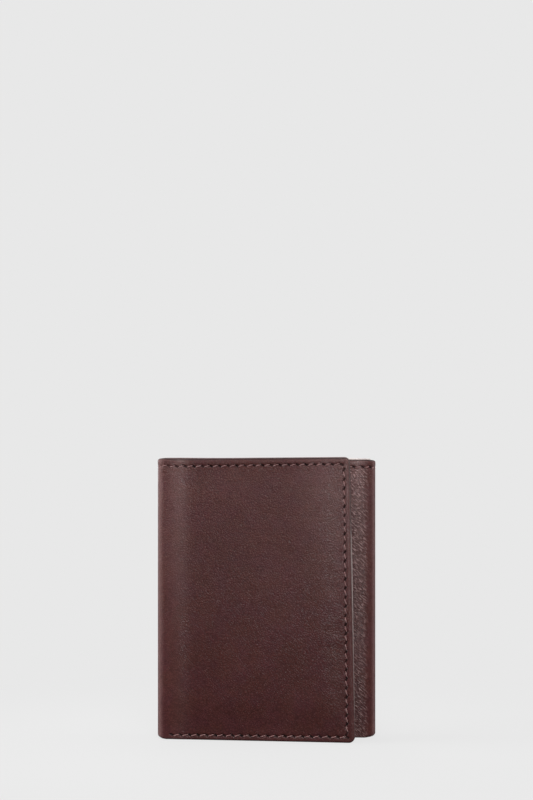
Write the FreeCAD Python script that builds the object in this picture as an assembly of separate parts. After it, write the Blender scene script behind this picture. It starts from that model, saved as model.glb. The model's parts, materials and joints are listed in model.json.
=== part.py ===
"""Trifold wallet, closed and standing on its lower edge: five leather panels folded round one another.

Millimetres. +Z is up, the front flap faces -Y, and the origin is at the middle of the footprint.
Seen from above, the leather runs as one path: inner flap, right fold, centre panel, left fold, front flap.
"""
import FreeCAD, Part
import math
import os

V = FreeCAD.Vector

# Overall size of the closed wallet
HEIGHT = 110.0  # leather, lower edge to upper edge
WIDTH = 86.5  # fold to fold
DEPTH = 22.0  # back of the centre panel to the front flap's free edge
INNER_PROUD = 0.6  # the inner walls stand this far above the leather

# Folds
CREASE_R = 5.0  # outer radius of the leather at each crease
HALF_KERF = 0.12  # half of the slit between two bodies at a crease, on the outer surface
FLAP_TILT = 6.6  # degrees, the front flap stands off towards its free edge
INNER_FLAP_Y = 0.5  # outer face of the inner flap
INNER_FLAP_END_X = -19.0  # free edge of the inner flap
FLAP_EDGE_FOOT_X = 33.8  # free edge of the front flap at its foot
FLAP_EDGE_HEAD_X = 31.4  # and at its head: the edge leans a little
FREE_CORNER_R = 2.4
LEAST_CORNER_R = 0.4  # where a corner is drawn well in

# Sheet thicknesses and gaps, counted inwards from the outer face
SHELL = 1.0
LINING = 0.2
BILL_GAP = 0.7
WALL = 0.3
LEAF = 0.35
SLOT = 0.95  # card gap on the centre panel and the inner flap
FLAP_SLOT = 0.8  # card gap on the front flap
WINDOW_SHEET = 0.2
WINDOW_FRAME = 0.45

LINING_IN = SHELL + LINING
WALL_OUT = LINING_IN + BILL_GAP
WALL_IN = WALL_OUT + WALL

# Turned edges of the leather
TURN = 0.8  # width of leather that closes an edge
HEM_HEIGHT = 6.5
HEM = 0.45  # skived leather of the upper hem, leaving room for notes
SEAM_WIDTH = 5.0  # turned leather along the free edge and the foot

# Card pockets
CARD = (54.0, 85.6)
POCKET_WIDTH = 60.0
POCKET_RIM = 2.0  # sewn side edges
POCKET_FOOT = 2.0
FLOOR = 1.5  # sewn floor under a card
POCKET_STEP = 10.0
TOP_POCKET_HEAD = 96.0
TOP_POCKET_FLOOR = 23.5
WINDOW = (42.0, 66.0)
WINDOW_R = 4.0
WINDOW_HEAD = 100.0
WINDOW_LAP = 4.0  # the clear sheet runs this far behind its frame
WINDOW_FOLD_RIM = 1.0  # narrow rim of the frame beside the fold

# Thread
PITCH = 3.5
STITCH = (2.5, 0.55, 0.25)  # length, width, height
STITCH_SLANT = 12.0
THREAD_GAP = 0.02
CHANNEL_WIDTH = 1.3  # the thread lies in a channel pressed into the leather
CHANNEL_DEPTH = 0.4
HEM_LINE = 3.0  # below the upper edge
SIDE_LINE = 2.6  # in from the free edge
FOOT_LINE = 1.8  # above the lower edge
POCKET_LINE = 1.0  # in from a pocket's edge
CORNER_GAP = 1.0  # a row stops this short of the row it meets
FOLD_GAP = 8.0  # the inner flap's foot seam stops this short of its fold

PAST = 1.0  # cutting shapes run this far past a face
FAR_PAST = 5.0  # and this far past an edge that they leave alone


class Panel:
    """One flat stretch of the path, with half a crease at either end.

    u runs along the panel, and depth runs inwards from the outer face, which lies on the right of the path.
    """

    def __init__(self, start, heading, length, turn_before, turn_after):
        angle = math.radians(heading)
        self.start = start
        self.heading = heading
        self.length = length
        self.along = V(math.cos(angle), math.sin(angle), 0)
        self.outward = V(math.sin(angle), -math.cos(angle), 0)
        self.half_before = math.radians(turn_before) / 2
        self.half_after = math.radians(turn_after) / 2

    def at(self, u, depth, z=0.0):
        return self.start + self.along * u - self.outward * depth + V(0, 0, z)

    def on_crease(self, angle, depth):
        """A point at this angle past the flat stretch: negative before its start, positive after its end."""
        centre = self.at(self.length if angle > 0 else 0.0, CREASE_R)
        return centre + (self.outward * math.cos(angle) + self.along * math.sin(angle)) * (CREASE_R - depth)

    def crease_middle(self, after=True):
        return self.on_crease(self.half_after if after else -self.half_before, 0.0)

    def spot(self, s, depth):
        """Point, direction along and outward normal at path length s, which may run on round either crease."""
        if 0 <= s <= self.length:
            return self.at(s, depth), self.along, self.outward
        angle = s / CREASE_R if s < 0 else (s - self.length) / CREASE_R
        normal = self.outward * math.cos(angle) + self.along * math.sin(angle)
        direction = self.along * math.cos(angle) - self.outward * math.sin(angle)
        return self.on_crease(angle, depth), direction, normal


def trace_path():
    """The five panels, in order along the path from the inner flap's free edge."""
    half = DEPTH / 2
    side = WIDTH / 2
    last_turn = 90.0 - FLAP_TILT
    tilt = math.radians(FLAP_TILT)
    flat = side - CREASE_R
    tangent_x = -flat - CREASE_R * math.sin(tilt)
    rise = (FLAP_EDGE_FOOT_X - tangent_x) * math.tan(tilt)
    left_foot_y = -half + rise + CREASE_R * math.cos(tilt)
    back_y = half - CREASE_R
    inner_flap = Panel(V(INNER_FLAP_END_X, INNER_FLAP_Y, 0), 0, flat - INNER_FLAP_END_X, 0, 90)
    right_y = INNER_FLAP_Y + CREASE_R
    right_fold = Panel(V(side, right_y, 0), 90, back_y - right_y, 90, 90)
    centre = Panel(V(flat, half, 0), 180, 2 * flat, 90, 90)
    left_fold = Panel(V(-side, back_y, 0), 270, back_y - left_foot_y, 90, last_turn)
    flap_start = V(tangent_x, -half + rise, 0)
    flap_length = (FLAP_EDGE_FOOT_X - tangent_x) / math.cos(tilt)
    front_flap = Panel(flap_start, 270 + last_turn, flap_length, last_turn, 0)
    return inner_flap, right_fold, centre, left_fold, front_flap


def ribbon(panel, near, far, bottom, top, from_u=None, to_u=None):
    """A sheet between two depths. It runs on round each crease to its middle unless a limit is given."""
    before = panel.half_before - HALF_KERF / CREASE_R if from_u is None and panel.half_before else 0.0
    after = panel.half_after - HALF_KERF / CREASE_R if to_u is None and panel.half_after else 0.0
    first = 0.0 if from_u is None else from_u
    last = panel.length if to_u is None else to_u

    def side(depth):
        edges = []
        if before:
            ends = [panel.on_crease(-before, depth), panel.on_crease(-before / 2, depth), panel.at(first, depth)]
            edges.append(Part.Arc(*ends).toShape())
        edges.append(Part.makeLine(panel.at(first, depth), panel.at(last, depth)))
        if after:
            ends = [panel.at(last, depth), panel.on_crease(after / 2, depth), panel.on_crease(after, depth)]
            edges.append(Part.Arc(*ends).toShape())
        return edges

    outer, inner = side(near), side(far)
    start = [edge.Vertexes[0].Point for edge in (outer[0], inner[0])]
    end = [edge.Vertexes[-1].Point for edge in (outer[-1], inner[-1])]
    loop = outer + inner + [Part.makeLine(*start), Part.makeLine(*end)]
    face = Part.Face(Part.Wire(Part.__sortEdges__(loop)))
    return face.extrude(V(0, 0, top - bottom)).translated(V(0, 0, bottom))


def outline(panel, at_start, side=0.0, foot=0.0, head=0.0, lean=0.0):
    """A prism over a flap, its free side, foot and head drawn in, with rounded free corners.

    at_start says which end of the panel is free. lean is how far the free edge draws in from foot to head.
    """
    far, reach = 30.0, 12.0
    bottom, top = foot, HEIGHT - head
    edge = [side + lean * z / HEIGHT for z in (bottom, top)]
    if at_start:
        corners = [(edge[0], bottom), (edge[1], top), (panel.length + far, top), (panel.length + far, bottom)]
    else:
        corners = [(panel.length - edge[0], bottom), (panel.length - edge[1], top), (-far, top), (-far, bottom)]
    points = [panel.at(u, -PAST, z) for u, z in corners]
    prism = Part.Face(Part.makePolygon(points + points[:1])).extrude(panel.outward * -reach)
    free = [e for e in prism.Edges if any(close(e, p, panel.outward * -reach) for p in points[:2])]
    return prism.makeFillet(max(FREE_CORNER_R - side, LEAST_CORNER_R), free)


def close(edge, point, step):
    """True if the edge runs from point by step."""
    return (edge.CenterOfMass - (point + step * 0.5)).Length < 0.01


def joined(first, *others):
    return first.fuse(list(others)).removeSplitter()


def channel(panel, z, from_u=None, to_u=None):
    """The level channel that a row of stitches lies in."""
    return ribbon(panel, -PAST, CHANNEL_DEPTH, z - CHANNEL_WIDTH / 2, z + CHANNEL_WIDTH / 2, from_u, to_u)


def flap_channel(panel, at_start, lean, fold_gap):
    """The channel along a flap's head, down its free edge and along its foot."""
    half = CHANNEL_WIDTH / 2
    insets = (SIDE_LINE, FOOT_LINE, HEM_LINE)
    band = outline(panel, at_start, *[inset - half for inset in insets], lean)
    band = band.cut(outline(panel, at_start, *[inset + half for inset in insets], lean))
    limits = (0, panel.length - fold_gap) if at_start else (fold_gap, panel.length)
    flat = ribbon(panel, -PAST * 0.9, CHANNEL_DEPTH, 0, HEIGHT, *limits).common(band)
    side_end = SIDE_LINE + lean
    hem_limits = (side_end, None) if at_start else (None, panel.length - side_end)
    return flat.fuse(channel(panel, HEIGHT - HEM_LINE, *hem_limits))


def fold_shell(panel):
    """Leather round a fold, with its upper hem turned in. Its foot is left unsewn."""
    outer = ribbon(panel, 0, SHELL, 0, HEIGHT)
    cap = ribbon(panel, SHELL, LINING_IN + HEM, HEIGHT - TURN, HEIGHT)
    hem = ribbon(panel, LINING_IN, LINING_IN + HEM, HEIGHT - HEM_HEIGHT, HEIGHT - TURN)
    return joined(outer, cap, hem).cut(channel(panel, HEIGHT - HEM_LINE))


def centre_shell(panel):
    """The back of the wallet: upper hem and foot both turned in."""
    foot_cap = ribbon(panel, SHELL, WALL_OUT, 0, TURN, 0, panel.length)
    foot_turn = ribbon(panel, LINING_IN, WALL_OUT, TURN, SEAM_WIDTH, 0, panel.length)
    return joined(fold_shell(panel), foot_cap, foot_turn).cut(channel(panel, FOOT_LINE, 0, panel.length))


def flap_shell(panel, at_start, lean, fold_gap):
    """A flap's leather: turned in at its head, foot and free edge, which closes the note compartment there."""
    whole = outline(panel, at_start, lean=lean)
    seam = whole.cut(outline(panel, at_start, SEAM_WIDTH, SEAM_WIDTH, -FAR_PAST, lean))
    head = whole.cut(outline(panel, at_start, 0, -FAR_PAST, HEM_HEIGHT, lean))
    rim = whole.cut(outline(panel, at_start, TURN, TURN, TURN, lean))
    leather = ribbon(panel, 0, SHELL, 0, HEIGHT).common(whole)
    rim_part = ribbon(panel, SHELL, LINING_IN, 0, HEIGHT).common(rim)
    head_part = ribbon(panel, LINING_IN, LINING_IN + HEM, 0, HEIGHT).common(head)
    flat = (None, panel.length) if at_start else (0, None)
    seam_part = ribbon(panel, LINING_IN, WALL_OUT, 0, HEIGHT, *flat).common(seam)
    return joined(leather, rim_part, head_part, seam_part).cut(flap_channel(panel, at_start, lean, fold_gap))


def fold_lining(panel):
    return ribbon(panel, SHELL, LINING_IN, TURN, HEIGHT - TURN)


def flap_lining(panel, at_start, lean):
    return fold_lining(panel).common(outline(panel, at_start, TURN, TURN, TURN, lean))


def fold_wall(panel):
    """The inner wall of the note compartment."""
    return ribbon(panel, WALL_OUT, WALL_IN, TURN, HEIGHT + INNER_PROUD)


def flap_wall(panel, at_start, lean):
    """It stands proud of the leather at the head and the free edge."""
    area = outline(panel, at_start, -INNER_PROUD, TURN, -INNER_PROUD, lean)
    longer = {"from_u": -PAST} if at_start else {"to_u": panel.length + PAST}
    return ribbon(panel, WALL_OUT, WALL_IN, TURN, HEIGHT + INNER_PROUD, **longer).common(area)


def pocket(panel, near, gap, level, first_u):
    """A card pocket: a leaf whose side edges and floor are turned back and sewn. Level 0 is the top one."""
    head = TOP_POCKET_HEAD - POCKET_STEP * level
    floor = TOP_POCKET_FLOOR - POCKET_STEP * level
    last_u = first_u + POCKET_WIDTH
    leaf = ribbon(panel, near + gap, near + gap + LEAF, POCKET_FOOT, head, first_u, last_u)
    left = ribbon(panel, near, near + gap, POCKET_FOOT, head, first_u, first_u + POCKET_RIM)
    right = ribbon(panel, near, near + gap, POCKET_FOOT, head, last_u - POCKET_RIM, last_u)
    shelf = ribbon(panel, near, near + gap, floor - FLOOR, floor, first_u, last_u)
    return joined(leaf, left, right, shelf)


def window_span(panel):
    """Start, end and head of the clear opening in the inner flap's card window."""
    middle = POCKET_RIM + CARD[0] / 2
    return middle - WINDOW[0] / 2, middle + WINDOW[0] / 2, WINDOW_HEAD - (WINDOW_HEAD - WINDOW[1]) / 2


def window_frame(panel):
    """The framed card window inside the inner flap, sewn at its foot and its free edge."""
    near, far = WALL_IN + SLOT + WINDOW_SHEET, WALL_IN + SLOT + WINDOW_SHEET + WINDOW_FRAME
    sheet = ribbon(panel, near, far, POCKET_FOOT, WINDOW_HEAD, 0, panel.length)
    side = ribbon(panel, WALL_IN, near, POCKET_FOOT, WINDOW_HEAD, 0, POCKET_RIM)
    fold_rim = panel.length - WINDOW_FOLD_RIM
    fold_side = ribbon(panel, WALL_IN, near, POCKET_FOOT, WINDOW_HEAD, fold_rim, panel.length)
    shelf = ribbon(panel, WALL_IN, near, POCKET_FOOT, POCKET_FOOT + FLOOR, 0, panel.length)
    start, end, top = window_span(panel)
    hole = ribbon(panel, near - PAST, far + PAST, top - WINDOW[1], top, start, end)
    upright = [e for e in hole.Edges if abs(e.tangentAt(e.FirstParameter).dot(panel.outward)) > 0.99]
    return joined(sheet, side, fold_side, shelf).cut(hole.makeFillet(WINDOW_R, upright))


def window_sheet(panel):
    """Clear sheet behind the frame, a little larger than its opening."""
    near = WALL_IN + SLOT
    start, end, top = window_span(panel)
    bottom = top - WINDOW[1] - WINDOW_LAP
    first, last = start - WINDOW_LAP, end + WINDOW_LAP
    return ribbon(panel, near, near + WINDOW_SHEET, bottom, top + WINDOW_LAP, first, last)


def stitch(point, along, outward, slant):
    """One visible length of thread, lying on a face."""
    length, width, height = STITCH
    across = outward.cross(along)
    bar = Part.makeBox(length, width, height, V(-length / 2, -width / 2, THREAD_GAP))
    bar.rotate(V(0, 0, 0), V(0, 0, 1), slant)
    axes = FreeCAD.Matrix(
        along.x, across.x, outward.x, point.x,
        along.y, across.y, outward.y, point.y,
        along.z, across.z, outward.z, point.z,
        0, 0, 0, 1,
    )  # fmt: skip
    return bar.transformGeometry(axes)


def spaced(first, last):
    """Middles of as many stitches as fit between two places."""
    count = int((last - first) // PITCH)
    start = (first + last - PITCH * (count - 1)) / 2
    return [start + PITCH * i for i in range(count)]


def level_row(panel, z, first, last, depth=CHANNEL_DEPTH):
    """Stitches along the path at one height, in the leather's channel or else on an inner face."""
    bars = []
    for s in spaced(first, last):
        point, along, outward = panel.spot(s, depth)
        face = outward if depth == CHANNEL_DEPTH else outward * -1
        bars.append(stitch(point + V(0, 0, z), along, face, STITCH_SLANT))
    return bars


def upright_row(panel, u_at, bottom, top, depth=CHANNEL_DEPTH):
    """Stitches up a face, where u_at gives the place along the panel at each height."""
    face = panel.outward if depth == CHANNEL_DEPTH else panel.outward * -1
    return [stitch(panel.at(u_at(z), depth, z), V(0, 0, 1), face, STITCH_SLANT) for z in spaced(bottom, top)]


def hem_thread(panel, clear_before=0.0, clear_after=0.0):
    first = clear_before - CREASE_R * panel.half_before
    last = panel.length + CREASE_R * panel.half_after - clear_after
    return Part.makeCompound(level_row(panel, HEIGHT - HEM_LINE, first, last))


def flap_seam_thread(panel, at_start, lean, fold_gap):
    """Seam up the free edge and along the foot of a flap, stopping fold_gap short of its fold."""
    def line(z):
        inset = SIDE_LINE + lean * z / HEIGHT
        return inset if at_start else panel.length - inset

    foot = sorted((line(0), panel.length - fold_gap if at_start else fold_gap))
    rows = level_row(panel, FOOT_LINE, *foot)
    rows += upright_row(panel, line, FOOT_LINE + CORNER_GAP, HEIGHT - HEM_LINE - CORNER_GAP)
    return Part.makeCompound(rows)


def pocket_thread(panel, near, gap, count, first_u):
    """Thread up both sides of a stack of pockets, on the innermost leaf."""
    depth = near + count * (gap + LEAF)
    head = TOP_POCKET_HEAD - POCKET_STEP * (count - 1)
    sides = (first_u + POCKET_LINE, first_u + POCKET_WIDTH - POCKET_LINE)
    rows = []
    for side in sides:
        rows += upright_row(panel, lambda z, u=side: u, POCKET_FOOT, head, depth)
    return Part.makeCompound(rows)


def window_thread(panel):
    """Thread round the foot and free side of the window frame, on its inner face."""
    depth = WALL_IN + SLOT + WINDOW_SHEET + WINDOW_FRAME
    rows = upright_row(panel, lambda z: POCKET_LINE, POCKET_FOOT + POCKET_LINE, WINDOW_HEAD, depth)
    rows += level_row(panel, POCKET_FOOT + POCKET_LINE, POCKET_RIM, panel.length - WINDOW_FOLD_RIM, depth)
    return Part.makeCompound(rows)


def build():
    inner_flap, right_fold, centre, left_fold, front_flap = trace_path()
    lean = FLAP_EDGE_FOOT_X - FLAP_EDGE_HEAD_X
    parts = {
        "back_cover": centre_shell(centre),
        "back_lining": fold_lining(centre),
        "back_inner_wall": fold_wall(centre),
        "back_hem_thread": hem_thread(centre),
        "back_foot_thread": Part.makeCompound(level_row(centre, FOOT_LINE, 0, centre.length)),
        "left_fold_cover": fold_shell(left_fold),
        "left_fold_lining": fold_lining(left_fold),
        "left_fold_inner_wall": fold_wall(left_fold),
        "left_fold_thread": hem_thread(left_fold),
        "right_fold_cover": fold_shell(right_fold),
        "right_fold_lining": fold_lining(right_fold),
        "right_fold_inner_wall": fold_wall(right_fold),
        "right_fold_thread": hem_thread(right_fold),
        "front_flap_cover": flap_shell(front_flap, False, lean, 0.0),
        "front_flap_lining": flap_lining(front_flap, False, lean),
        "front_flap_inner_wall": flap_wall(front_flap, False, lean),
        "front_flap_hem_thread": hem_thread(front_flap, clear_after=lean + SIDE_LINE + CORNER_GAP),
        "front_flap_seam_thread": flap_seam_thread(front_flap, False, lean, 0.0),
        "inner_flap_cover": flap_shell(inner_flap, True, 0.0, FOLD_GAP),
        "inner_flap_lining": flap_lining(inner_flap, True, 0.0),
        "inner_flap_inner_wall": flap_wall(inner_flap, True, 0.0),
        "inner_flap_hem_thread": hem_thread(inner_flap, clear_before=SIDE_LINE + CORNER_GAP),
        "inner_flap_seam_thread": flap_seam_thread(inner_flap, True, 0.0, FOLD_GAP),
        "id_window_frame": window_frame(inner_flap),
        "id_window_sheet": window_sheet(inner_flap),
        "id_window_thread": window_thread(inner_flap),
    }
    back_first = (centre.length - POCKET_WIDTH) / 2
    for level, name in enumerate(("top", "middle", "lower")):
        near = WALL_IN + level * (SLOT + LEAF)
        parts[f"back_{name}_pocket"] = pocket(centre, near, SLOT, level, back_first)
    parts["back_pocket_thread"] = pocket_thread(centre, WALL_IN, SLOT, 3, back_first)
    flap_first = front_flap.length - lean - SEAM_WIDTH - POCKET_WIDTH
    for level, name in enumerate(("top", "lower")):
        near = WALL_IN + level * (FLAP_SLOT + LEAF)
        parts[f"front_flap_{name}_pocket"] = pocket(front_flap, near, FLAP_SLOT, level, flap_first)
    parts["front_flap_pocket_thread"] = pocket_thread(front_flap, WALL_IN, FLAP_SLOT, 2, flap_first)
    return parts


os.makedirs("parts", exist_ok=True)
for name, shape in build().items():
    shape.exportStep(f"parts/{name}.step")
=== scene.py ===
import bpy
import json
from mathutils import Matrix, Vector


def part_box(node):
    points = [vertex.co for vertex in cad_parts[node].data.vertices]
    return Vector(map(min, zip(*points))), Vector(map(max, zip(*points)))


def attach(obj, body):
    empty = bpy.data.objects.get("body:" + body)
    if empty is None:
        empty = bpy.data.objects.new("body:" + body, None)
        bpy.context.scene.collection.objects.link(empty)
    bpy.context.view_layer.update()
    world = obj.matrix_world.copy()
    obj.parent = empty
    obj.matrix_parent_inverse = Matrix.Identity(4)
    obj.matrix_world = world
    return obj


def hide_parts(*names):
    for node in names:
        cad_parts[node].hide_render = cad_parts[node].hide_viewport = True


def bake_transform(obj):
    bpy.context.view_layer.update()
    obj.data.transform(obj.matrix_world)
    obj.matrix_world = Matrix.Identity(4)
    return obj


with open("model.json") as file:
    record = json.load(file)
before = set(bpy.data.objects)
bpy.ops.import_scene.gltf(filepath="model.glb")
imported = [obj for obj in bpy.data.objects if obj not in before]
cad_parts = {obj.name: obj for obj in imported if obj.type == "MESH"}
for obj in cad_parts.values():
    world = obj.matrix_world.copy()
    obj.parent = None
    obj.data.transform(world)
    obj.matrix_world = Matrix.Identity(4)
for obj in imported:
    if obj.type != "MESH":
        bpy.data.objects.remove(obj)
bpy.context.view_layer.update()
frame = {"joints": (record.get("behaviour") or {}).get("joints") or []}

# The looks of the trifold wallet: leather, cloth, thread and window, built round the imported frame.

import json
import math

import bpy
import numpy as np
from mathutils import Vector

MM = 0.001

# Sheets, in mm: depths are counted inwards from the leather's outer face, as in the frame
CREASE_R = 5.0
SHELL = 1.0  # the leather's thickness
LINING_OUT = 1.02
LINING_IN = 1.2
HEM_IN = 1.65  # the inner side of the turned hem
WALL_OUT = 1.9
WALL_IN = 2.2
TOUCH = 0.03  # gap left between layers that touch
LEAF = 0.35  # thickness of a pocket leaf
SLOT = 0.95  # room behind each leaf on the back, and for the window
FLAP_SLOT = 0.8
WINDOW_SHEET = 0.2
WINDOW_FRAME = 0.45
RIM = 0.8  # how far in from its edge a turned edge starts to round over
SOFTEN = 0.6  # half the width over which one thickness turns into another

# Heights and widths, in mm
INNER_PROUD = 0.6  # how far the inner wall stands beyond the leather
HEM_HEIGHT = 6.5
SEAM_WIDTH = 5.0
TURN = 0.8  # how far the inner wall stops above the leather's foot
LEAN = 2.4  # the front flap's free edge draws in this far from foot to head
FREE_CORNER_R = 2.4
FOLD_FOOT_R = 1.6
FOLD_HEAD_R = 0.3
LINING_GAP = 0.8  # the lining stops this far from the seams and the hem
FOLD_GAP = 8.0  # the inner flap's foot row stops this far from its fold
HEAD_FALL = 0.22  # the inner wall's head hangs this far on the front flap
HEAD_RISE = 0.45  # the leather's head rides up this far round the left fold
HEAD_REACH = 30.0  # both fade out over this height
POCKET_WIDTH = 60.0
POCKET_RIM = 2.0
POCKET_FOOT = 2.0
POCKET_FLOOR = 1.5
POCKET_STEP = 10.0
MOUTH_LINE = 2.2  # the pressed line below a pocket's mouth
TOP_POCKET_HEAD = 96.0
TOP_POCKET_FLOOR = 23.5
CARD_WIDTH = 54.0
WINDOW = (42.0, 66.0)  # the opening
WINDOW_R = 4.0
WINDOW_HEAD = 100.0  # the frame's head
WINDOW_LAP = 4.0  # how far the clear sheet reaches past the opening
FRAME_CORNER_R = 0.8

# Thread
PITCH = 3.5
FOOT_PITCH = 3.42
HEAD_DRIFT = 0.4  # the hem row climbs this far towards the front flap's free edge
SIDE_DRIFT = 1.0  # the row along the free edge runs this much nearer the edge at its head than its foot
FOOT_DRIFT = 0.5  # the foot row climbs this far towards the free edge
HEM_LINE = 3.0
SIDE_LINE = 2.6
FOOT_LINE = 1.8
POCKET_LINE = 1.0
THREAD_R = 0.18
POCKET_THREAD_R = 0.2
HALF_STITCH = 1.1
SLOPE = 0.3  # each stitch climbs this much for each millimetre along
DIVE = 0.12  # how far each stitch goes on past its ends as it dips into the leather
SLIT_DEPTH = 0.5
SLIT_R = 0.22
GROOVE_DEPTH = 0.1
STEP = PITCH / 8  # grid spacing, so that each slit spans whole columns
SEAM_OFFSETS = (-1.3, -1.0, -0.8, -0.6, -0.45, -0.3, -0.15, 0.0, 0.15, 0.3, 0.45, 0.6, 0.8, 1.0, 1.3)

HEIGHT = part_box("back_cover")[1].z / MM
HEM_Z = HEIGHT - HEM_LINE


def smooth(value, start, end):
    """0 before start and 1 after end, with a smooth climb between."""
    t = np.clip((value - start) / (end - start), 0, 1)
    return t * t * (3 - 2 * t)


def bump(value, middle, width):
    """1 at the middle, falling away evenly on both sides."""
    return np.exp(-(((value - middle) / width) ** 2))


# -------- the path the leather follows
class Path:
    """The leather's outer face seen from above, from the front flap's free edge to the inner flap's."""

    def __init__(self):
        hinge = next(j for j in frame["joints"] if j["name"] == "front_flap_hinge")
        turn = hinge["range_deg"][1]
        tilt = math.radians(90 - turn)
        side = -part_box("left_fold_cover")[0].x / MM
        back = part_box("back_cover")[1].y / MM
        inner_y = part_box("inner_flap_cover")[0].y / MM
        inner_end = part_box("inner_flap_cover")[0].x / MM
        corner_lean = LEAN * FREE_CORNER_R / HEIGHT
        free_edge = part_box("front_flap_cover")[1].x / MM + corner_lean - WALL_OUT * math.sin(tilt)
        crease_y = hinge["pos_m"][1] / MM + CREASE_R * math.sin(math.radians(turn / 2))
        crease_middle = np.array([CREASE_R - side, crease_y])
        flap_end = crease_middle - CREASE_R * np.array([math.sin(tilt), math.cos(tilt)])
        flap = (free_edge - flap_end[0]) / math.cos(tilt)
        quarter = CREASE_R * math.pi / 2
        stretches = [  # length, and turn in degrees
            (flap, 0),
            (CREASE_R * math.radians(turn), turn),
            (back - CREASE_R - crease_y, 0),
            (quarter, 90),
            (2 * (side - CREASE_R), 0),
            (quarter, 90),
            (back - inner_y - 2 * CREASE_R, 0),
            (quarter, 90),
            (side - CREASE_R - inner_end, 0),
        ]
        point = flap_end - self.unit(math.pi - tilt) * flap
        heading = math.pi - tilt
        marks, points, headings = [0.0], [point], [heading]
        for length, angle in stretches:
            outward = self.unit(heading + math.pi / 2)
            if angle:
                next_outward = self.unit(heading - math.radians(angle) + math.pi / 2)
                point = point + (next_outward - outward) * CREASE_R
                heading -= math.radians(angle)
            else:
                point = point + self.unit(heading) * length
            marks.append(marks[-1] + length)
            points.append(point)
            headings.append(heading)
        self.marks, self.points, self.headings = np.array(marks), np.array(points), np.array(headings)
        self.bent = np.array([angle > 0 for _, angle in stretches])
        self.flap, self.end = self.marks[1], self.marks[-1]

    @staticmethod
    def unit(angle):
        """The direction at each angle."""
        return np.stack([np.cos(angle), np.sin(angle)], -1)

    def at(self, s):
        """Outer point and outward normal at each distance along the path."""
        i = np.clip(np.searchsorted(self.marks, s, "right") - 1, 0, len(self.bent) - 1)
        gone = s - self.marks[i]
        heading = self.headings[i] - np.where(self.bent[i], gone / CREASE_R, 0.0)
        outward = self.unit(heading + math.pi / 2)
        first_outward = self.unit(self.headings[i] + math.pi / 2)
        straight = self.points[i] + self.unit(heading) * gone[..., None]
        curved = self.points[i] + (outward - first_outward) * CREASE_R
        return np.where(self.bent[i][..., None], curved, straight), outward

    def place(self, c, z, depth, draped=True):
        """Points in mm at columns, heights and depths; a column is a place along the path at the foot.

        Draped sheets lean with the front flap's free edge. There the inner wall's head hangs a little,
        and at the left fold the leather's head rides up to meet it.
        """
        c, z, depth = np.broadcast_arrays(np.asarray(c, float), z, depth)
        c = np.where(c < 0, c * (0.2 + 0.6 * smooth(z, 15, 75)), c)  # the wall shows less towards its foot
        s = c + LEAN * z / HEIGHT * np.clip(1 - c / self.flap, 0, None) if draped else c
        point, outward = self.at(s)
        if draped:
            on_front_flap = 1 - smooth(c, self.flap - 25, self.flap)
            on_left_fold = smooth(c, self.flap - 3, self.flap + 2)
            on_left_fold = on_left_fold * (1 - smooth(c, self.marks[3], self.marks[4] + 9))
            is_wall = depth > (HEM_IN + WALL_OUT) / 2
            climb = np.where(is_wall, -HEAD_FALL * on_front_flap, HEAD_RISE * on_left_fold)
            z = z + climb * smooth(z, HEIGHT - HEAD_REACH, HEIGHT)
        return np.concatenate([point - outward * depth[..., None], z[..., None].astype(float)], -1)


path = Path()
FLAP_CREASE, LEFT_CREASE, RIGHT_CREASE, INNER_CREASE = path.marks[1:9].reshape(4, 2)
BACK_START, BACK_END = path.marks[4:6]  # of the back panel's flat
INNER_START = path.marks[8]  # of the inner flap's flat
MID_LEFT = path.marks[2:4].mean()
MID_BACK = path.marks[4:6].mean()
MID_RIGHT = path.marks[6:8].mean()

# The four lengths of each long sheet: start, end, the crease it bends over and its two bodies
LENGTHS = {
    "front": (0.0, MID_LEFT, FLAP_CREASE, "front_flap", "left_fold"),
    "back_left": (MID_LEFT, MID_BACK, LEFT_CREASE, "left_fold", "back_panel"),
    "back_right": (MID_BACK, MID_RIGHT, RIGHT_CREASE, "back_panel", "right_fold"),
    "inner": (MID_RIGHT, path.end, INNER_CREASE, "right_fold", "inner_flap"),
}


# -------- seams
class Seam:
    """A row of stitches on the sheet: its first stitch's middle, and the directions along and outwards.

    drift gives how far outwards the row has wandered at each distance along it.
    """

    def __init__(self, start, along, out, count, pitch=PITCH, drift=lambda a: 0 * a):
        self.start, self.along, self.out = np.array(start, float), np.array(along), np.array(out)
        self.count, self.pitch, self.drift = count, pitch, drift

    def spot(self, i, a, b):
        """Columns and heights at a along and b outwards from the middle of stitch i."""
        a = i * self.pitch + np.asarray(a)
        b = np.asarray(b) + self.drift(a)
        return self.start + self.along * a[..., None] + self.out * b[..., None]

    def local(self, c, z):
        """Each point's stitch number, its distances past that stitch and outwards, and if it is near."""
        offset = np.stack([c, z], -1) - self.start
        a, b = offset @ self.along, offset @ self.out
        middle = (self.count - 1) / 2 * self.pitch
        there = np.abs(a - middle) < middle + 0.8 * self.pitch
        return a // self.pitch, a % self.pitch, b - self.drift(a), there

    def marks(self, c, z):
        """Depth of the pressed line and of the slits between stitches."""
        number, a, b, there = self.local(c, z)
        groove = GROOVE_DEPTH * bump(b, 0, 0.55)
        rise = SLOPE * HALF_STITCH
        gap = self.pitch - 2 * HALF_STITCH
        share = np.clip((a - HALF_STITCH) / gap, 0, 1)
        away = np.hypot(a - HALF_STITCH - share * gap, b - rise * (1 - 2 * share))
        opened = 0.85 + 0.15 * np.sin(number * 2.4)
        slit = opened * (1 - smooth(away, SLIT_R * 0.9, SLIT_R * 2.2))
        return np.where(there, groove, 0), np.where(there, slit, 0)


def whole_steps(length, pitch=PITCH):
    """How many stitches fit."""
    return int(length // pitch)


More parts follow.
